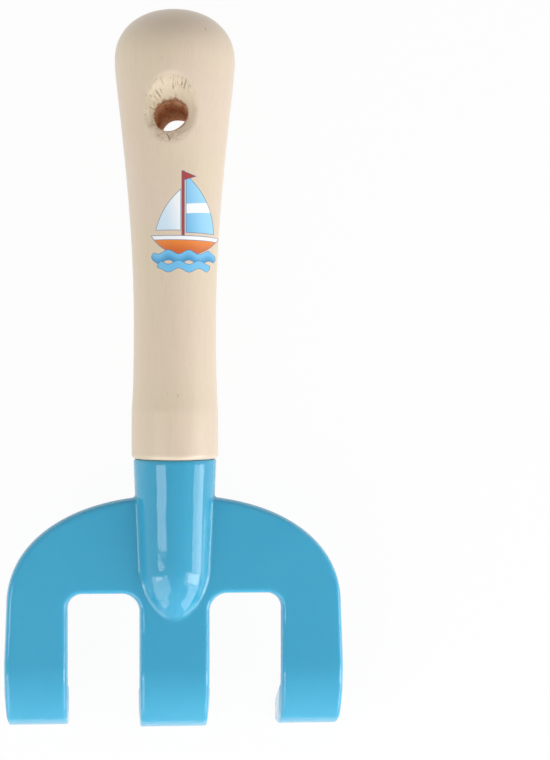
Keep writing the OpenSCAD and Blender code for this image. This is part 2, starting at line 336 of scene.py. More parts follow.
def handle_field(points):
    """The turned handle with its hang hole, whose edges are torn along the grain."""
    body = turned_handle(np.hypot(points[..., 0], points[..., 2] - AXIS_Z), points[..., 1] - MOUTH_Y)
    from_hole = points - HOLE_MIDDLE
    along = from_hole @ HOLE_AXIS
    off = np.sqrt(np.maximum((from_hole ** 2).sum(axis=-1) - along ** 2, 0))
    cut = off - HOLE_R
    for end, sink_r in ((1, FRONT_SINK_R), (-1, BACK_SINK_R)):
        rise = end * along - (hole_crest - sink_r + HOLE_R)
        cut = round_join(cut, (off - HOLE_R - rise) * SINK_SLOPE_SHARE, SINK_THROAT_ROUND)
    radial = from_hole - along[..., None] * HOLE_AXIS
    towards_lip = radial[..., 0] * LIP_WAY[0] + radial[..., 1] * LIP_WAY[1]
    towards_lip /= np.maximum(off, HOLE_R / 2)
    torn = np.clip(1 - np.abs(cut) / TORN_REACH, 0, 1) * np.clip(1 + body / TORN_REACH, 0, 1)
    torn *= np.clip((along - hole_crest / 2) / TORN_REACH, TORN_BACK_SHARE, 1)
    torn *= np.clip(TORN_SIDE_SHARE - towards_lip * TORN_TURN_SHARE, TORN_LIP_SHARE, 1)
    torn *= np.clip((FRONT_SINK_R - off) / TORN_REACH + TORN_RIM_SHARE, TORN_OUTSIDE_SHARE, 1)
    cut += TORN_DEPTH * torn * ripples(points, TORN_WAVE, TORN_WAVES, TORN_SEED)
    from_throat = (along - hole_crest + FRONT_SINK_R - HOLE_R) / LIP_REACH
    cut += LIP_DEPTH * np.clip(towards_lip, 0, 1) ** LIP_POWER * np.exp(-from_throat ** 2)
    return round_cut(body, -cut, SINK_EDGE_ROUND)


# Fork head

socket_side = np.concatenate([
    [[0, 0]],
    arc([COLLAR_R - COLLAR_ROUND, -COLLAR_ROUND], COLLAR_ROUND, 90, 0),
    quarter(NOSE_R, NOSE_LEN, NOSE_POWER) * [1, -1] - [0, SOCKET_LEN - NOSE_LEN],
])
turned_socket = turned(socket_side)
hollow_side = np.concatenate([
    [[0, FIELD_MARGIN], [BORE_R, FIELD_MARGIN]],
    quarter(BORE_R, NOSE_LEN - NOSE_WALL, NOSE_POWER) * [1, -1] - [0, SOCKET_LEN - NOSE_LEN],
])
turned_hollow = turned(hollow_side)
screw_seat_z = screw_low[2]
screw_y = (screw_low[1] + screw_high[1]) / 2
screw_len = screw_high[2] - screw_low[2]
screw_hole_side = [
    [0, -FIELD_MARGIN],
    [SCREW_HEAD_R + SCREW_GAP, -FIELD_MARGIN],
    [SCREW_HEAD_R + SCREW_GAP, 0],
    [SCREW_CORE_R + SCREW_GAP, SCREW_HEAD_R - SCREW_CORE_R],
    [SCREW_R + SCREW_GAP, SCREW_HEAD_R - SCREW_CORE_R + SCREW_PITCH],
    [SCREW_R + SCREW_GAP, screw_len - SCREW_POINT],
    [0, screw_len],
]
turned_screw_hole = turned(screw_hole_side)


def facing(angle):
    """Which way the plate's front looks after bending down by an angle, as [away from the mouth, up]."""
    return np.array([math.sin(angle), math.cos(angle)])


sweep_centre = np.array([BEND_FROM_MOUTH, FRONT_Z - SWEEP_R])
knee_centre = sweep_centre + (SWEEP_R - KNEE_R) * facing(SWEEP_ANGLE)
hook_centre = knee_centre - (HOOK_R - KNEE_R) * facing(KNEE_END_ANGLE)
hook_end = hook_centre + (HOOK_R - PLATE_T / 2) * facing(TIP_ANGLE)
web_run = MOUTH_Y - head_low[1] - WEB_FOOT - WEB_FROM_MOUTH


def height_in_plate(run, z):
    """Height of points above the middle of the bent plate, square to it, at a run from the mouth."""
    way = facing(TIP_ANGLE)
    height = (run - hook_end[0]) * way[0] + (z - hook_end[1]) * way[1]
    bends = (
        (hook_centre, HOOK_R, TIP_ANGLE),
        (knee_centre, KNEE_R, KNEE_END_ANGLE),
        (sweep_centre, SWEEP_R, SWEEP_ANGLE),
    )
    for centre, radius, end_angle in bends:
        turn = np.arctan2(run - centre[0], z - centre[1]) % (2 * math.pi)
        bent = np.hypot(run - centre[0], z - centre[1]) - radius + PLATE_T / 2
        height = np.where(turn < end_angle, bent, height)
    return np.where(run < BEND_FROM_MOUTH, z - FRONT_Z + PLATE_T / 2, height)


def plate_outline(x, run, at_tip):
    """Distance of points outside the plate as seen from above: an arch that runs on into three tines."""
    spread = np.clip((run - ARCH_FROM_MOUTH) / (BEND_FROM_MOUTH - ARCH_FROM_MOUTH), 0, 1)
    sides = x - ARCH_HALF_W - (HEAD_W / 2 - ARCH_HALF_W) * spread + TIP_INSET * at_tip
    across = np.maximum(x / ARCH_HALF_W, LEAST_SHARE)
    up = np.maximum((ARCH_FROM_MOUTH - run) / ARCH_H, LEAST_SHARE)
    reach = (across ** ARCH_POWER + up ** ARCH_POWER) ** (1 / ARCH_POWER)
    slope_across = (across / reach) ** (ARCH_POWER - 1) / ARCH_HALF_W
    slope_up = (up / reach) ** (ARCH_POWER - 1) / ARCH_H
    arch = (reach - 1) / np.hypot(slope_across, slope_up)
    outside = np.where(run < ARCH_FROM_MOUTH, arch, sides)
    gap_x = x - MID_TINE_HALF_W - GAP_W / 2
    corner = np.where(gap_x < 0, GAP_INNER_ROUND, GAP_OUTER_ROUND)
    side = np.abs(gap_x) - GAP_W / 2 - TIP_GAP_INSET * at_tip + corner
    end = GAP_FROM_MOUTH - run + corner
    gap = np.hypot(np.maximum(side, 0), np.maximum(end, 0)) + np.minimum(np.maximum(side, end), 0)
    return np.maximum(outside, corner - gap)


def plate_field(points):
    """The bent plate with drafted walls and webs under its tines, open where the socket sits."""
    x, y, z = (points[..., axis] for axis in range(3))
    tine = np.digitize(x, [-MID_TINE_HALF_W - GAP_W / 2, MID_TINE_HALF_W + GAP_W / 2])
    run = MOUTH_Y - y
    free = np.clip((run - GAP_FROM_MOUTH) / (BEND_FROM_MOUTH - GAP_FROM_MOUTH), 0, 1)
    run = run - np.array(TINE_REACH)[tine] * free
    lean = np.array(TIP_LEAN)[tine] * np.clip(1 - z / FRONT_Z, 0, 1)
    at_tip = np.clip(1 - z / (FRONT_Z - PLATE_T), 0, 1)
    height = height_in_plate(run, z)
    draft = np.interp(height, (-PLATE_T / 2, PLATE_T / 2), (-BACK_DRAFT, FRONT_DRAFT)) * (1 - at_tip)
    outline = plate_outline(np.abs(x + lean), run, at_tip) + draft
    before_web = (FRONT_Z - z) * web_run - (run - WEB_FROM_MOUTH) * FRONT_Z
    before_web = before_web / math.hypot(FRONT_Z, web_run)
    web = np.maximum(np.maximum(height, before_web), -outline - WEB_T)
    section = np.minimum(np.abs(height) - PLATE_T / 2, web)
    plate = round_cut(outline, section, EDGE_ROUND + (TIP_EDGE_ROUND - EDGE_ROUND) * at_tip)
    plate = round_cut(plate, -z, TIP_ROUND)
    return np.maximum(plate, SOCKET_WALL_BITE - turned_hollow(np.hypot(x, z - AXIS_Z), -run))


def socket_field(points):
    """The hollow socket with its screw hole."""
    x, y, z = (points[..., axis] for axis in range(3))
    off_axis = np.hypot(x, z - AXIS_Z)
    wall = np.maximum(turned_socket(off_axis, y - MOUTH_Y), -turned_hollow(off_axis, y - MOUTH_Y))
    return np.maximum(wall, -turned_screw_hole(np.hypot(x, y - screw_y), z - screw_seat_z))


def head_field(points):
    """The plate and the socket in one, with a small fillet where they meet."""
    return round_join(plate_field(points), socket_field(points), CREASE_FILLET)


# Shader maths

class Wire:
    """One output socket of a node tree. Sums, products and powers of wires add Math nodes."""

    def __init__(self, tree, socket):
        self.tree = tree
        self.socket = socket

    def node(self, kind, settings=None, inputs=None, output=0):
        """Adds a node of any type, sets it, then fills its inputs, and gives one of its outputs."""
        made = self.tree.nodes.new(kind)
        for name, value in (settings or {}).items():
            setattr(made, name, value)
        for name, value in (inputs or {}).items():
            plug(made.inputs[name], value)
        return Wire(self.tree, made.outputs[output])

    def math(self, operation, *values):
        """Adds a Math node for an operation on wires or numbers."""
        return self.node("ShaderNodeMath", {"operation": operation}, dict(enumerate(values)))

    def __add__(self, other):
        return self.math("ADD", self, other)

    def __radd__(self, other):
        return self.math("ADD", other, self)

    def __sub__(self, other):
        return self.math("SUBTRACT", self, other)

    def __rsub__(self, other):
        return self.math("SUBTRACT", other, self)

    def __mul__(self, other):
        return self.math("MULTIPLY", self, other)

    def __rmul__(self, other):
        return self.math("MULTIPLY", other, self)

    def __truediv__(self, other):
        return self.math("DIVIDE", self, other)

    def __rtruediv__(self, other):
        return self.math("DIVIDE", other, self)

    def __pow__(self, other):
        return self.math("POWER", self, other)


# Places of the sockets of a Mix node that is set to colours
MIX_FACTOR, MIX_A, MIX_B, MIX_COLOUR = 0, 6, 7, 2

# What the values of a noise texture lie around
NOISE_MIDDLE = 0.5


def plug(socket, value):
    """Links a wire to an input socket, or sets the socket to a plain value."""
    if isinstance(value, Wire):
        value.tree.links.new(value.socket, socket)
    else:
        socket.default_value = value


def feed(shader, **values):
    """Plugs wires or plain values into the shader's sockets by name, with _ for a space."""
    for name, value in values.items():
        plug(shader.inputs[name.replace("_", " ")], value)


def larger(a, b):
    """The larger of a wire and another wire or number."""
    return a.math("MAXIMUM", a, b)


def ramp(value, start, end):
    """Rises smoothly from 0 at start to 1 at end."""
    settings = {"interpolation_type": "SMOOTHSTEP"}
    return value.node("ShaderNodeMapRange", settings, {0: value, 1: start, 2: end, 3: 0.0, 4: 1.0})


def rgba(colour):
    """A colour with full opacity."""
    return (*colour, 1.0)


def blend(share, under, over):
    """Lays a colour over another by a share from 0 to 1."""
    under, over = (colour if isinstance(colour, Wire) else rgba(colour) for colour in (under, over))
    inputs = {MIX_FACTOR: share, MIX_A: under, MIX_B: over}
    return share.node("ShaderNodeMix", {"data_type": "RGBA"}, inputs, MIX_COLOUR)


def vector_maths(a, operation, b, output=0):
    """Adds a Vector Math node for an operation on two vectors."""
    return a.node("ShaderNodeVectorMath", {"operation": operation}, {0: a, 1: b}, output)


def split(vector):
    """The three numbers of a vector."""
    parts = vector.node("ShaderNodeSeparateXYZ", {}, {0: vector}).socket.node
    return [Wire(vector.tree, parts.outputs[axis]) for axis in range(3)]


def scaled(place, sizes):
    """Coordinates counted in the given sizes along x, y and z."""
    return vector_maths(place, "DIVIDE", sizes)


def noise(place, sizes, detail, roughness):
    """Smooth noise around its middle, whose cells have the given sizes in millimetres."""
    inputs = {"Vector": scaled(place, sizes), "Scale": 1.0, "Detail": detail, "Roughness": roughness}
    return place.node("ShaderNodeTexNoise", {"noise_dimensions": "3D"}, inputs)


def bump(height, distance):
    """Surface relief from a height that counts in a distance in millimetres."""
    return height.node("ShaderNodeBump", {}, {"Height": height, "Distance": distance * MM}, "Normal")


def start_material(name):
    """A new material, its Principled shader and its Object coordinates in millimetres."""
    material = bpy.data.materials.new(name)
    material.use_nodes = True
    tree = material.node_tree
    shader = tree.nodes["Principled BSDF"]
    corner = Wire(tree, shader.outputs[0])
    place = corner.node("ShaderNodeTexCoord", output="Object")
    return material, shader, scaled(place, (MM, MM, MM))


def beyond(u, v, through, way):
    """Distance past a straight line through a point, in the direction way."""
    length = math.hypot(*way)
    return (u - through[0]) * (way[0] / length) + (v - through[1]) * (way[1] / length)


def disc(u, v, centre, radius):
    """Distance outside a disc."""
    across = u - centre[0]
    up = v - centre[1]
    return (across * across + up * up) ** 0.5 - radius


# Print, a small sailing boat on waves, in millimetres from the middle of its place on the handle

PRINT_X = 2.4
PRINT_Y = MOUTH_Y + 65.3
PRINT_WRAP = 1.0
PRINT_SOFT = 0.07
PRINT_LINE = 0.13
MAST_LEFT = -0.5
MAST_RIGHT = 0.1
MAST_TOP = 13.2
BOOM = -4.2
SAIL_CENTRE = (-11.8, -3.6)
SAIL_R = 20.0
SAIL_LUFF = 0.7
SAIL_FOOT = BOOM + 1.0
SAIL_SHADE = (-4.0, 8.0)
SAIL_SHADE_SLOPE = 0.25
STRIPE_FOOT = 1.8
STRIPE_TOP = 4.4
STRIPE_SLOPE = 0.1
JIB_CENTRE = (12.5, -7.5)
JIB_R = 20.6
JIB_LUFF = -0.9
JIB_FOOT = BOOM + 1.6
JIB_SHADE = (-6.0, 1.0)
JIB_SHADE_SLOPE = 0.3
PENNANT_TOP = 13.0
PENNANT_FOOT = 10.9
PENNANT_SLOPE = 0.35
HULL_CENTRE = (0.4, 1.2)
HULL_R = 10.6
HULL_SHADE = (-9.0, -4.5)
RAIL_T = 1.0
WAVE_LEN = 5.6
WAVE_H = 0.55
SEA = (-11.2, -8.6)
SEA_SHADE = (-11.2, -8.8)
SEA_HALF_W = 8.7
SHORE = (-13.4, -11.4)
SHORE_INSET = 1.6
WATER_END_BOW = 0.5
INK_SKY = (0.16, 0.52, 0.82)
INK_SEA = (0.05, 0.30, 0.58)
INK_DEEP = (0.02, 0.10, 0.28)
INK_SAIL = (0.33, 0.66, 0.90)
INK_SAIL_SHADE = (0.10, 0.42, 0.75)
INK_WHITE = (0.90, 0.92, 0.93)
INK_WHITE_SHADE = (0.62, 0.78, 0.90)
INK_ORANGE = (0.83, 0.25, 0.03)
INK_ORANGE_SHADE = (0.62, 0.12, 0.015)
INK_RED = (0.42, 0.045, 0.03)


def water_band(v, swell, foot, top, ends):
    """Distance outside a band of water that rises and falls with the swell."""
    from_middle = v - (foot + top) / 2
    bowed_ends = ends + from_middle * from_middle * WATER_END_BOW
    return larger(larger(v - top - swell, foot - v + swell), bowed_ends)


def boat_print(colour, place):
    """Lays a printed sailing boat on waves over the wood's colour."""
    x, y, z = split(place)
    u = x - PRINT_X
    v = y - PRINT_Y
    front = ramp(z, AXIS_Z, AXIS_Z + PRINT_WRAP)
    sail = larger(disc(u, v, SAIL_CENTRE, SAIL_R), larger(SAIL_LUFF - u, SAIL_FOOT - v))
    stripe_foot = beyond(u, v, (0, STRIPE_FOOT), (STRIPE_SLOPE, -1))
    stripe_top = beyond(u, v, (0, STRIPE_TOP), (-STRIPE_SLOPE, 1))
    stripe = larger(stripe_foot, stripe_top)
    jib = larger(disc(u, v, JIB_CENTRE, JIB_R), larger(u - JIB_LUFF, JIB_FOOT - v))
    mast = larger(larger(MAST_LEFT - u, u - MAST_RIGHT), larger(BOOM - v, v - MAST_TOP))
    pennant_top = beyond(u, v, (MAST_RIGHT, PENNANT_TOP), (PENNANT_SLOPE, 1))
    pennant_foot = beyond(u, v, (MAST_RIGHT, PENNANT_FOOT), (PENNANT_SLOPE, -1))
    pennant = larger(pennant_top, larger(pennant_foot, MAST_RIGHT - u))
    hull = larger(disc(u, v, HULL_CENTRE, HULL_R), v - BOOM)
    rail = larger(hull, BOOM - RAIL_T - v)
    wave_turn = u * (2 * math.pi / WAVE_LEN)
    swell = wave_turn.math("SINE", wave_turn) * WAVE_H
    ends = larger(u - SEA_HALF_W, -SEA_HALF_W - u)
    sea = water_band(v, swell, *SEA, ends)
    shore = water_band(v, swell * -1, *SHORE, ends + SHORE_INSET)
    sail_blue = blend(ramp(u + v * SAIL_SHADE_SLOPE, *SAIL_SHADE), INK_SAIL_SHADE, INK_SAIL)
    striped = blend(ramp(stripe, PRINT_SOFT, -PRINT_SOFT), sail_blue, INK_WHITE)
    jib_white = blend(ramp(u + v * JIB_SHADE_SLOPE, *JIB_SHADE), INK_WHITE_SHADE, INK_WHITE)
    hull_orange = blend(ramp(v, *HULL_SHADE), INK_ORANGE_SHADE, INK_ORANGE)
    sea_blue = blend(ramp(v - swell, *SEA_SHADE), INK_SEA, INK_SKY)
    inks = (
        (sail, striped), (jib, jib_white), (mast, INK_RED), (pennant, INK_RED),
        (hull, hull_orange), (rail, INK_WHITE), (sea, sea_blue), (shore, INK_SKY),
    )
    for distance, ink in inks:
        outline = ramp(distance, PRINT_LINE + PRINT_SOFT, PRINT_LINE - PRINT_SOFT) * front
        colour = blend(outline, colour, INK_DEEP)
        colour = blend(ramp(distance, PRINT_SOFT, -PRINT_SOFT) * front, colour, ink)
    return colour


# Wood

WOOD = (0.720, 0.598, 0.456)
WOOD_YELLOW = (0.700, 0.588, 0.428)
WOOD_PINK = (0.715, 0.578, 0.460)
WOOD_PORE = (0.50, 0.37, 0.25)
# Colours of the countersink's bare wood: torn wood with painted shade on its torn side, where more light
# falls, and paler wood as painted light on its shaded lip side
TORN_WOOD_WITH_PAINTED_SHADE = (0.63, 0.53, 0.38)
LIP_WOOD_WITH_PAINTED_LIGHT = (0.74, 0.60, 0.44)
# Pale chips, also laid as painted light over the shaded head side of the countersink
PALE_CHIPS_AND_PAINTED_LIGHT = (0.96, 0.78, 0.60)
WOOD_SCRATCH = (0.20, 0.14, 0.07)
# Colours of the hole's wall, far paler than burnt wood: painted light against the deep shade in the hole
BURNT_WALL_WITH_PAINTED_LIGHT = (0.99, 0.66, 0.39)
CHAR_WITH_PAINTED_LIGHT = (0.80, 0.37, 0.15)
# Painted shade at the top of the hole's wall, where more light falls
TOP_WALL_PAINTED_SHADE = (0.37, 0.165, 0.08)

# Finish of the wood: gloss, how much its layers add to the roughness, and the depth of its relief
WOOD_SPECULAR = 0.75
WOOD_ROUGHNESS = 0.30
GRAIN_DULL = 0.10
DISH_DULL = 0.3
BURNT_DULL = 0.6
WOOD_RELIEF = 0.04
GRAIN_RELIEF_SHARE = 0.4
PORE_RELIEF_SHARE = 0.3
TORN_RELIEF_SHARE = 5.0
FRAY_LEAST_SHARE = 0.25

# Patterns of noise in the wood: sizes along x, y and z, detail and roughness
GRAIN_NOISE = ((0.30, 9.0, 0.30), 3.0, 0.6)
BAND_NOISE = ((2.6, 60.0, 2.6), 2.0, 0.5)
CLOUD_NOISE = ((14.0, 26.0, 14.0), 1.0, 0.5)
PORE_NOISE = ((0.42, 3.2, 0.42), 1.0, 0.5)
PATCH_NOISE = ((2.6, 2.6, 2.6), 0.0, 0.5)
MOTTLE_NOISE = ((1.2, 1.2, 1.2), 2.0, 0.6)

# The same in the hang hole, with sizes around it, out from its axis and along it
FRAY_NOISE = ((0.55, 2.6, 3.0), 2.0, 0.6)
SCRATCH_NOISE = ((0.2, 2.6, 9.0), 1.0, 0.5)
RAGGED_NOISE = ((1.1, 1.6, 3.0), 4.0, 0.7)
SPLINTER_NOISE = ((0.32, 1.8, 4.0), 1.0, 0.5)
CHAR_NOISE = ((1.5, 2.6, 2.6), 3.0, 0.6)

# Levels of a pattern between which a layer of colour comes up, and how much of it shows then
CLOUD_LEVELS = (0.35, 0.65)
BAND_LEVELS = (0.35, 0.65)
BAND_SHARE = 0.6
GRAIN_LEVELS = (0.50, 0.85)
GRAIN_SHARE = 0.30
PORE_LEVELS = (0.70, 0.80)
PORE_SHARE = 0.2
PATCH_LEVELS = (0.40, 0.52)
MOTTLE_LEVELS = (0.48, 0.62)
MOTTLE_SHARE = 0.5
SCRATCH_LEVELS = (0.56, 0.65)
SCRATCH_SHARE = 0.75
SPLINTER_LEVELS = (0.42, 0.60)
CHAR_LEVELS = (0.45, 0.60)
# Least share of the pale chip colour over all of the countersink's head side, a painted light in its
# shade
HEAD_SIDE_PAINTED_LIGHT_SHARE = 0.45
DISH_SHARE = 0.85
# How much of the painted shade at the top of the hole's wall shows
TOP_SHADE_SHARE = 0.9

# Sides of the hang hole, as cosines of the turn from the torn side and from the round end
TORN_SIDE_TURN = (-0.35, 0.75)
HEAD_SIDE_TURN = (-0.3, -0.85)

# Countersink, from where its colours start to where they are full
DISH_DEPTH = (0.16, 0.42)
DISH_FRAY = 0.3
DISH_EDGE = (FRONT_SINK_R + 2.0, FRONT_SINK_R + 1.0)
DULL_EDGE = (FRONT_SINK_R + 5.0, FRONT_SINK_R + 2.0)

# Burnt wall of the hole: how far its edge wanders, and between which depths it darkens upwards as a
# painted shade where more light falls near its top
BURN_SOFT = 0.7
BURN_RAGGED = 2.4
BURN_SPLINTER = 1.6
BURN_SIDE = 0.5
BURN_SLOPE = 0.6
BURN_DEPTH = 1.5
TOP_SHADE_DEPTHS = (4.5, 1.0)

# Dark nick in the countersink, from the hole's axis
NICK_START = (-2.2, -4.6)
NICK_WAY = (0.35, -0.94)
NICK_LEN = 2.2
NICK_BOW = 0.12
NICK_WIDTH = (0.26, 0.10)
NICK_SHARE = 0.7

# Dark specks on the handle's front: across, along from the mouth, and radius
SPECKS = ((8.3, 117.0, 0.16), (0.8, 17.7, 0.13))
SPECK_STRETCH = 2
SPECK_SOFT = 3
SPECK_SHARE = 0.6


def grain(place):
    """Colour of sanded wood with fine grain along the handle, and the noise of its fibres and pores."""
    fibres = noise(place, *GRAIN_NOISE)
    bands = noise(place, *BAND_NOISE)
    clouds = noise(place, *CLOUD_NOISE)
    pores = noise(place, *PORE_NOISE)
    colour = blend(ramp(clouds, *CLOUD_LEVELS), WOOD_PINK, WOOD_YELLOW)
    colour = blend(ramp(bands, *BAND_LEVELS) * BAND_SHARE, colour, WOOD)
    colour = blend(ramp(fibres, *GRAIN_LEVELS) * GRAIN_SHARE, colour, WOOD_PORE)
    colour = blend(ramp(pores, *PORE_LEVELS) * PORE_SHARE, colour, WOOD_PORE)
    return colour, fibres, pores


def sunk_depth(across, up, rise):
    """How far below the turned surface a place around the middle of the hang hole lies."""
    from_hole = handle_side[:, 1] + MOUTH_Y - HOLE_MIDDLE[1]
    near = np.abs(from_hole) < FRONT_SINK_R + TORN_REACH
    side = np.polyfit(from_hole[near], handle_side[near, 0], 2)
    return (up * up) * side[0] + up * side[1] + side[2] - (across * across + rise * rise) ** 0.5


def nick_gap(across, up):
    """Distance from the bowed nick in the countersink."""
    run = beyond(across, up, NICK_START, NICK_WAY)
    aside = beyond(across, up, NICK_START, (NICK_WAY[1], -NICK_WAY[0]))
    aside = aside - run * (run - NICK_LEN) * NICK_BOW
    return larger(aside, aside * -1) + larger(larger(run * -1, run - NICK_LEN), 0.0)


def hole_wear(colour, place):
    """Lays torn, scratched and burnt wood over the colour in the hang hole and its front countersink,
    with painted light and painted shade that even out their shading.

    Gives the colour, the height of the torn wood and how much duller it is.
    """
    from_hole = vector_maths(place, "SUBTRACT", tuple(HOLE_MIDDLE))
    along = vector_maths(from_hole, "DOT_PRODUCT", tuple(HOLE_AXIS), "Value")
    reach = vector_maths(from_hole, "DOT_PRODUCT", from_hole, "Value")
    off = (reach - along * along) ** 0.5
    across, up, rise = split(from_hole)
    turn = up.math("ARCTAN2", up, across)
    polar = place.node("ShaderNodeCombineXYZ", {}, {0: turn * HOLE_R, 1: off, 2: along})
    frayed = noise(polar, *FRAY_NOISE)
    ragged = noise(polar, *RAGGED_NOISE)
    charred = ramp(noise(polar, *CHAR_NOISE), *CHAR_LEVELS)
    scratches = ramp(noise(polar, *SCRATCH_NOISE), *SCRATCH_LEVELS)
    patchy = ramp(noise(place, *PATCH_NOISE), *PATCH_LEVELS)
    mottled = ramp(noise(place, *MOTTLE_NOISE), *MOTTLE_LEVELS)
    dish = ramp(sunk_depth(across, up, rise) + frayed * DISH_FRAY, *DISH_DEPTH) * ramp(off, *DISH_EDGE)
    torn_side = ramp((across * TORN_WAY[0] + up * TORN_WAY[1]) / off, *TORN_SIDE_TURN)
    head_side = ramp(up / off, *HEAD_SIDE_TURN)

    throat = hole_crest - FRONT_SINK_R + HOLE_R
    splintered = noise(polar, *SPLINTER_NOISE) * ramp(ragged, *SPLINTER_LEVELS) * torn_side
    above_throat = larger(along - throat, -BURN_DEPTH)
    rim = off + (ragged - NOISE_MIDDLE) * BURN_RAGGED + splintered * BURN_SPLINTER
    rim = rim + above_throat * BURN_SLOPE + (1 - torn_side) * BURN_SIDE
    burnt = ramp(rim, HOLE_R + BURN_SOFT, HOLE_R)
    # Both wall colours are painted light against the deep shade in the hole
    wall = blend(charred, BURNT_WALL_WITH_PAINTED_LIGHT, CHAR_WITH_PAINTED_LIGHT)
    # Painted shade darkens the wall towards its top, where more light falls into the hole
    top_painted_shade = ramp(along, throat - TOP_SHADE_DEPTHS[0], throat - TOP_SHADE_DEPTHS[1])
    wall = blend(top_painted_shade * TOP_SHADE_SHARE, wall, TOP_WALL_PAINTED_SHADE)

    # Painted shade on the lit torn side and painted light on the shaded lip side even out the
    # countersink's shading
    bare = blend(torn_side, LIP_WOOD_WITH_PAINTED_LIGHT, TORN_WOOD_WITH_PAINTED_SHADE)
    # Painted light over the countersink's shaded head side, with pale chips in patches
    chips_and_painted_light = head_side * (HEAD_SIDE_PAINTED_LIGHT_SHARE + patchy * (1 - HEAD_SIDE_PAINTED_LIGHT_SHARE))
    bare = blend(chips_and_painted_light, bare, PALE_CHIPS_AND_PAINTED_LIGHT)
    bare = blend(head_side * mottled * MOTTLE_SHARE, bare, WOOD_PORE)
    colour = blend(dish * DISH_SHARE, colour, bare)
    scratched = dish * torn_side * torn_side * scratches * patchy * SCRATCH_SHARE
    colour = blend(scratched, colour, WOOD_SCRATCH)
    nicked = ramp(nick_gap(across, up), *NICK_WIDTH) * dish * NICK_SHARE
    colour = blend(nicked, colour, WOOD_SCRATCH)
    colour = blend(burnt, colour, wall)
    torn = dish * (FRAY_LEAST_SHARE + torn_side * (1 - FRAY_LEAST_SHARE))
    height = torn * (1 - burnt) * frayed
    return colour, height, larger(ramp(off, *DULL_EDGE) * DISH_DULL, burnt * BURNT_DULL)


def specked(colour, place):
    """Lays the specks over the colour, each a little longer along the handle."""
    stretched = scaled(place, (1, SPECK_STRETCH, 1))
    for x, height, size in SPECKS:
        z = AXIS_Z + math.sqrt(handle_radius(height) ** 2 - x ** 2)
        speck = (x, (MOUTH_Y + height) / SPECK_STRETCH, z)
        gap = vector_maths(stretched, "DISTANCE", speck, "Value")
        colour = blend(ramp(gap, size * SPECK_SOFT, size) * SPECK_SHARE, colour, WOOD_PORE)
    return colour


def wood_material():
    """Pale sanded and printed wood, burnt in the hang hole and torn around it, with painted light and
    painted shade in the hole and its countersink.
    """
    material, shader, place = start_material("sanded_wood")
    colour, fibres, pores = grain(place)
    colour, torn, dull = hole_wear(colour, place)
    colour = boat_print(specked(colour, place), place)
    relief = fibres * GRAIN_RELIEF_SHARE + pores * PORE_RELIEF_SHARE + torn * TORN_RELIEF_SHARE
    feed(
        shader,
        Base_Color=colour,
        Roughness=WOOD_ROUGHNESS + fibres * GRAIN_DULL + dull,
        Normal=bump(relief, WOOD_RELIEF),
        Specular_IOR_Level=WOOD_SPECULAR,
    )
    return material


# Torn fibres around the hang hole

SINK_NARROW = 1.25
FIBRE_LEN = 1.1
FIBRE_R = 0.12
FIBRE_TIP_SHARE = 0.15
FIBRE_BEND_SHARE = 0.3
FIBRE_SIDES = 5
FIBRE_STEPS = 4
FIBRES_PER_MM2 = 1.1
FIBRE_LIP_SHARE = 0.06
FIBRE_SEED = 7
FIBRE_STRAY = Vector((0.6, 0.6, 0.2))
FIBRE_LIFT = 0.35
FIBRE_LEAST_SHARES = (0.5, 0.5, 0.4)
FIBRE_MOST_SHARES = (1.2, 1.2, 1.4)
FIBRE_PALE = (0.80, 0.68, 0.48)
FIBRE_DARK = (0.46, 0.35, 0.20)
FIBRE_TONE_NOISE = ((0.7, 0.7, 0.7), 0.0, 0.5)
FIBRE_TONE_LEVELS = (0.60, 0.78)
FIBRE_STREAK_NOISE = ((0.1, 0.6, 0.1), 1.0, 0.5)
FIBRE_STREAK_SHARE = 0.2
FIBRE_STREAK_DULL = 0.2
FIBRE_RELIEF = 0.02
FIBRE_ROUGHNESS = 0.6


def fibre_material():
    """Splinters of bare wood, each a little paler or darker than the next."""
    material, shader, place = start_material("torn_wood")
    streaks = noise(place, *FIBRE_STREAK_NOISE)
    tone = noise(place, *FIBRE_TONE_NOISE) + streaks * FIBRE_STREAK_SHARE
    feed(
        shader,
        Base_Color=blend(ramp(tone, *FIBRE_TONE_LEVELS), FIBRE_PALE, FIBRE_DARK),
        Roughness=FIBRE_ROUGHNESS + streaks * FIBRE_STREAK_DULL,
        Normal=bump(streaks, FIBRE_RELIEF),
    )
    return material


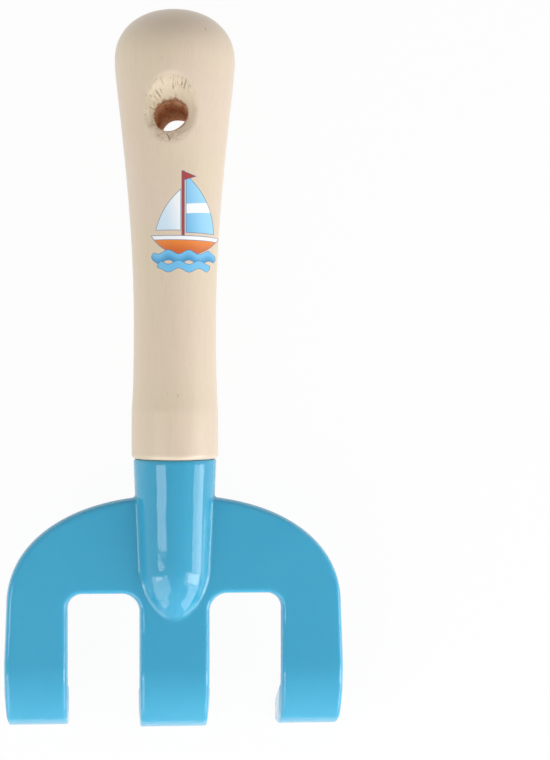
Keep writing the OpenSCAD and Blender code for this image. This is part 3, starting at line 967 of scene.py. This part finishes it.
def fibre_tree():
    """Geometry nodes that stand bent splinters in a hole's countersink, thickest on its torn side."""
    tree = bpy.data.node_groups.new("torn_fibres", "GeometryNodeTree")
    tree.interface.new_socket("Fibres", in_out="OUTPUT", socket_type="NodeSocketGeometry")
    kinds = {
        "Surface": "Geometry", "Middle": "Vector", "Axis": "Vector", "Floor": "Float", "Inner": "Float",
        "Outer": "Float", "Density": "Float", "Length": "Float", "Radius": "Float", "Seed": "Int",
        "Material": "Material",
    }
    for name, kind in kinds.items():
        tree.interface.new_socket(name, in_out="INPUT", socket_type="NodeSocket" + kind)
    start = tree.nodes.new("NodeGroupInput")
    given = {name: Wire(tree, start.outputs[name]) for name in kinds}
    place = given["Surface"].node("GeometryNodeInputPosition")
    offset = vector_maths(place, "SUBTRACT", given["Middle"])
    along = vector_maths(offset, "DOT_PRODUCT", given["Axis"], "Value")
    radial = vector_maths(offset, "SUBTRACT", vector_maths(given["Axis"], "MULTIPLY", along))
    off = vector_maths(radial, "LENGTH", (0, 0, 0), "Value")
    narrowed = vector_maths(radial, "MULTIPLY", (SINK_NARROW, 1, 1))
    rim = vector_maths(narrowed, "LENGTH", (0, 0, 0), "Value")
    inside = along.math("GREATER_THAN", along, given["Floor"])
    inside = inside * off.math("GREATER_THAN", off, given["Inner"])
    inside = inside * rim.math("LESS_THAN", rim, given["Outer"])
    across, up, _ = split(radial)
    torn_side = larger((across * TORN_WAY[0] + up * TORN_WAY[1]) / off, FIBRE_LIP_SHARE)
    density = inside * torn_side * given["Density"]
    points = place.node(
        "GeometryNodeDistributePointsOnFaces", {"distribute_method": "RANDOM"},
        {"Mesh": given["Surface"], "Density": density, "Seed": given["Seed"]},
    )
    normal = Wire(tree, points.socket.node.outputs["Normal"])
    stray = place.node(
        "FunctionNodeRandomValue", {"data_type": "FLOAT_VECTOR"},
        {"Min": -FIBRE_STRAY, "Max": FIBRE_STRAY, "Seed": given["Seed"]},
    )
    way = vector_maths(vector_maths(radial, "NORMALIZE", (0, 0, 0)), "ADD", stray)
    lift = vector_maths(normal, "MULTIPLY", (FIBRE_LIFT, FIBRE_LIFT, FIBRE_LIFT))
    way = vector_maths(way, "ADD", lift)
    turn = place.node("FunctionNodeAlignRotationToVector", {"axis": "Z"}, {"Vector": way})
    size = place.node(
        "FunctionNodeRandomValue", {"data_type": "FLOAT_VECTOR"},
        {"Min": FIBRE_LEAST_SHARES, "Max": FIBRE_MOST_SHARES, "Seed": given["Seed"]},
    )
    cone = place.node(
        "GeometryNodeMeshCone", {"fill_type": "NGON"},
        {
            "Vertices": FIBRE_SIDES, "Side Segments": FIBRE_STEPS, "Depth": given["Length"],
            "Radius Top": given["Radius"] * FIBRE_TIP_SHARE, "Radius Bottom": given["Radius"],
        },
    )
    height = split(place)[2] / given["Length"]
    lean = height * height * given["Length"] * FIBRE_BEND_SHARE
    lean = place.node("ShaderNodeCombineXYZ", {}, {0: lean})
    bent = place.node("GeometryNodeSetPosition", {}, {"Geometry": cone, "Offset": lean})
    fibres = place.node(
        "GeometryNodeInstanceOnPoints", {},
        {"Points": points, "Instance": bent, "Rotation": turn, "Scale": size},
    )
    loose = place.node("GeometryNodeRealizeInstances", {}, {"Geometry": fibres})
    done = place.node("GeometryNodeSetMaterial", {}, {"Geometry": loose, "Material": given["Material"]})
    end = tree.nodes.new("NodeGroupOutput")
    tree.links.new(done.socket, end.inputs["Fibres"])
    return tree


def rim_fibres(handle):
    """Torn splinters on the handle around the front of its hang hole, as one mesh."""
    tree = fibre_tree()
    piece = bpy.data.objects.new("rim_fibres", handle.data)
    bpy.context.scene.collection.objects.link(piece)
    maker = piece.modifiers.new("torn_fibres", "NODES")
    maker.node_group = tree
    values = {
        "Middle": tuple(HOLE_MIDDLE * MM),
        "Axis": tuple(HOLE_AXIS),
        "Floor": (hole_crest - LIP_REACH * 2) * MM,
        "Inner": HOLE_R * MM,
        "Outer": FRONT_SINK_R * MM,
        "Density": FIBRES_PER_MM2 / MM ** 2,
        "Length": FIBRE_LEN * MM,
        "Radius": FIBRE_R * MM,
        "Seed": FIBRE_SEED,
        "Material": fibre_material(),
    }
    for item in tree.interface.items_tree:
        if item.name in values:
            maker[item.identifier] = values[item.name]
    made = piece.evaluated_get(bpy.context.evaluated_depsgraph_get())
    mesh = bpy.data.meshes.new_from_object(made)
    piece.modifiers.remove(maker)
    piece.data = mesh
    return piece


# Plastic

PLASTIC = (0.049, 0.380, 0.584)
PLASTIC_LIGHT = (0.055, 0.400, 0.604)
PLASTIC_ROUGHNESS = 0.035
PLASTIC_SPECULAR = 0.6
FLOW_NOISE = ((26.0, 40.0, 26.0), 2.0, 0.5)
FLOW_LEVELS = (0.3, 0.7)
FLOW_DULL = 0.02
SCUFF_NOISE = ((0.9, 5.0, 0.9), 3.0, 0.65)
SCUFF_LEVELS = (0.55, 0.8)
SCUFF_DULL = 0.05
RIPPLE_NOISE = ((6.0, 10.0, 6.0), 1.0, 0.5)
RIPPLE_DEPTH = 0.06
SOCKET_RIPPLE_SHARE = 1.5
SOCKET_RISE = 3.0
GLOW_SHARE = 0.7
GLOW_REACH_SHARES = (0.25, 0.8, 1.0)
GLOW_REACH = 2.0


def plastic_material():
    """Glossy moulded plastic with faint flow marks, dull scuffs and a ripple, deeper on the socket."""
    material, shader, place = start_material("moulded_plastic")
    flow = noise(place, *FLOW_NOISE)
    ripple = noise(place, *RIPPLE_NOISE)
    scuffs = ramp(noise(place, *SCUFF_NOISE), *SCUFF_LEVELS)
    on_socket = ramp(split(place)[2], FRONT_Z, FRONT_Z + SOCKET_RISE)
    feed(
        shader,
        Base_Color=blend(ramp(flow, *FLOW_LEVELS), PLASTIC, PLASTIC_LIGHT),
        Roughness=PLASTIC_ROUGHNESS + scuffs * SCUFF_DULL + flow * FLOW_DULL,
        Normal=bump(ripple * (1 + on_socket * SOCKET_RIPPLE_SHARE), RIPPLE_DEPTH),
        Specular_IOR_Level=PLASTIC_SPECULAR,
        Subsurface_Weight=GLOW_SHARE,
        Subsurface_Radius=GLOW_REACH_SHARES,
        Subsurface_Scale=GLOW_REACH * MM,
    )
    return material


# Screw

ZINC = (0.62, 0.63, 0.64)
ZINC_DULL = (0.42, 0.42, 0.41)
ZINC_ROUGHNESS = 0.24
ZINC_PATCH_NOISE = ((0.8, 0.8, 0.8), 3.0, 0.6)
ZINC_PATCH_LEVELS = (0.4, 0.7)
ZINC_PATCH_DULL = 0.25
TURNING_NOISE = ((2.0, 2.0, 0.12), 2.0, 0.5)
TURNING_DEPTH = 0.02


def zinc_material():
    """Bright zinc plating with fine turning lines and dull patches."""
    material, shader, place = start_material("zinc_plating")
    patches = noise(place, *ZINC_PATCH_NOISE)
    turning = noise(place, *TURNING_NOISE)
    feed(
        shader,
        Base_Color=blend(ramp(patches, *ZINC_PATCH_LEVELS), ZINC, ZINC_DULL),
        Roughness=ZINC_ROUGHNESS + patches * ZINC_PATCH_DULL,
        Normal=bump(turning, TURNING_DEPTH),
        Metallic=1.0,
    )
    return material


# Stage, light and camera

PHOTO_SIZE = (550, 760)
EYE_FROM_MOUTH = 21.74
EYE_HEIGHT = 404.52
EYE = Vector((0, MOUTH_Y + EYE_FROM_MOUTH, EYE_HEIGHT)) * MM
EYE_YAW = math.radians(3.199)
EYE_PITCH = math.radians(0.029)
FOCAL_PIXELS = 1381.8
FRAME_SHIFT = 0.03
SENSOR = 36.0
NEAREST_SEEN = 0.01
FLOOR_SIDE = 3.0
FLOOR_GREY = (0.8, 0.8, 0.8)
FLOOR_ROUGHNESS = 0.9
FLOOR_WHITE_SHARE = 0.95
WHITE = (1.0, 1.0, 1.0)
ZENITH_LIGHT = 0.33
FRONT_LIGHT = 0.55
BACK_LIGHT = 0.2
SIDE_LIGHT = 0.36

# The point on the socket that the softboxes face, and for each its span in degrees from upright,
# aside and ahead of that point, its distance in metres and its radiance
LIT_FROM_MOUTH = 25.0
LIT_POINT = Vector((0, MOUTH_Y - LIT_FROM_MOUTH, FRONT_Z)) * MM
SOFTBOXES = {
    "left_strip": ((-53, -25.5), (3, 12.1), 0.7, 3.0),
    "front_left_softbox": ((-78, -26), (22, 52), 0.55, 1.8),
    "front_left_low_softbox": ((-78, -46), (52, 65), 0.55, 1.8),
    "left_lamp": ((-66, -44), (22, 28), 0.54, 2.8),
    "right_softbox": ((55, 88), (-50, 45), 0.6, 0.3),
    "right_strip": ((55, 88), (3, 15), 0.6, 2.3),
    "right_low_strip": ((70, 89), (3, 15), 0.58, 1.2),
    "front_right_softbox": ((38, 88), (15, 38), 0.55, 2.0),
    "front_right_low_softbox": ((58, 88), (38, 66), 0.55, 2.2),
    "right_lamp": ((47, 82), (18, 32), 0.54, 3.6),
}


def add_camera():
    """A camera where the photograph was taken from, with the rake at the left of its picture."""
    camera = bpy.data.cameras.new("photo_camera")
    camera.sensor_width = SENSOR
    camera.lens = SENSOR * FOCAL_PIXELS / max(PHOTO_SIZE)
    camera.shift_x = FRAME_SHIFT
    camera.clip_start = NEAREST_SEEN
    eye = bpy.data.objects.new("photo_camera", camera)
    eye.location = EYE
    eye.rotation_euler = (EYE_PITCH, -EYE_YAW, 0)
    bpy.context.scene.collection.objects.link(eye)
    bpy.context.scene.camera = eye


def seen_white(wire):
    """1 where a surface is seen by the camera, in gloss or through glass, and 0 where it only lights."""
    path = wire.node("ShaderNodeLightPath").socket.node
    names = ("Is Camera Ray", "Is Glossy Ray", "Is Transmission Ray")
    camera, glossy, transmitted = (Wire(wire.tree, path.outputs[name]) for name in names)
    return larger(larger(camera, glossy), transmitted)


def add_floor():
    """A floor that lights the rake as grey paper does and looks white."""
    material, shader, place = start_material("white_floor")
    feed(shader, Base_Color=rgba(FLOOR_GREY), Roughness=FLOOR_ROUGHNESS)
    lit = Wire(material.node_tree, shader.outputs[0])
    white = place.node("ShaderNodeEmission", {}, {"Color": rgba(WHITE), "Strength": 1.0})
    share = seen_white(place) * FLOOR_WHITE_SHARE
    shown = place.node("ShaderNodeMixShader", {}, {0: share, 1: lit, 2: white})
    plug(material.node_tree.nodes["Material Output"].inputs["Surface"], shown)
    half = FLOOR_SIDE / 2
    corners = [(-half, -half, 0), (half, -half, 0), (half, half, 0), (-half, half, 0)]
    mesh = bpy.data.meshes.new("floor")
    mesh.from_pydata(corners, [], [range(len(corners))])
    mesh.materials.append(material)
    floor = bpy.data.objects.new("floor", mesh)
    bpy.context.scene.collection.objects.link(floor)


def add_world():
    """A pale room, dim above, brighter at the sides and ahead of the tines, and white to the camera."""
    world = bpy.data.worlds.new("studio")
    bpy.context.scene.world = world
    world.use_nodes = True
    background = world.node_tree.nodes["Background"]
    corner = Wire(world.node_tree, background.outputs[0])
    x, y, _ = split(corner.node("ShaderNodeTexCoord", output="Generated"))
    light = ZENITH_LIGHT + larger(y * -FRONT_LIGHT, y * BACK_LIGHT) + x * x * SIDE_LIGHT
    camera_ray = corner.node("ShaderNodeLightPath", output="Is Camera Ray")
    feed(background, Color=rgba(WHITE), Strength=larger(light, camera_ray))


def add_softbox(name, aside, ahead, distance, radiance):
    """A soft panel that faces the lit point and fills the given spans of degrees as seen from there."""
    aside_middle, ahead_middle = (math.radians(sum(span) / 2) for span in (aside, ahead))
    half_spans = [math.radians(span[1] - span[0]) / 2 for span in (aside, ahead)]
    width, length = (2 * distance * math.tan(half_span) for half_span in half_spans)
    light = bpy.data.lights.new(name, "AREA")
    light.shape = "RECTANGLE"
    light.size = width
    light.size_y = length
    light.energy = radiance * math.pi * width * length
    across = Vector((math.cos(aside_middle), 0, -math.sin(aside_middle)))
    away = Vector((math.sin(aside_middle), -math.tan(ahead_middle), math.cos(aside_middle))).normalized()
    turn = Matrix((across, away.cross(across), away)).transposed()
    panel = bpy.data.objects.new(name, light)
    panel.visible_camera = False
    panel.matrix_world = Matrix.Translation(LIT_POINT + away * distance) @ turn.to_4x4()
    bpy.context.scene.collection.objects.link(panel)


bpy.context.scene.view_settings.view_transform = "Standard"
add_camera()
add_floor()
add_world()
for softbox_name, softbox in SOFTBOXES.items():
    add_softbox(softbox_name, *softbox)

handle = skin("turned_handle", handle_field, handle_low, handle_high, WOOD_VOXEL, wood_material())
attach(handle, "root")
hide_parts("wooden_handle")

fibres = rim_fibres(handle)
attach(fibres, "root")

head = skin("moulded_head", head_field, head_low, head_high, PLASTIC_VOXEL, plastic_material())
head.data.set_sharp_from_angle(angle=CREASE_ANGLE)
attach(head, "root")
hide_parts("fork_head")

screw = frame["nodes"]["fixing_screw"]
screw.data.materials.clear()
screw.data.materials.append(zinc_material())
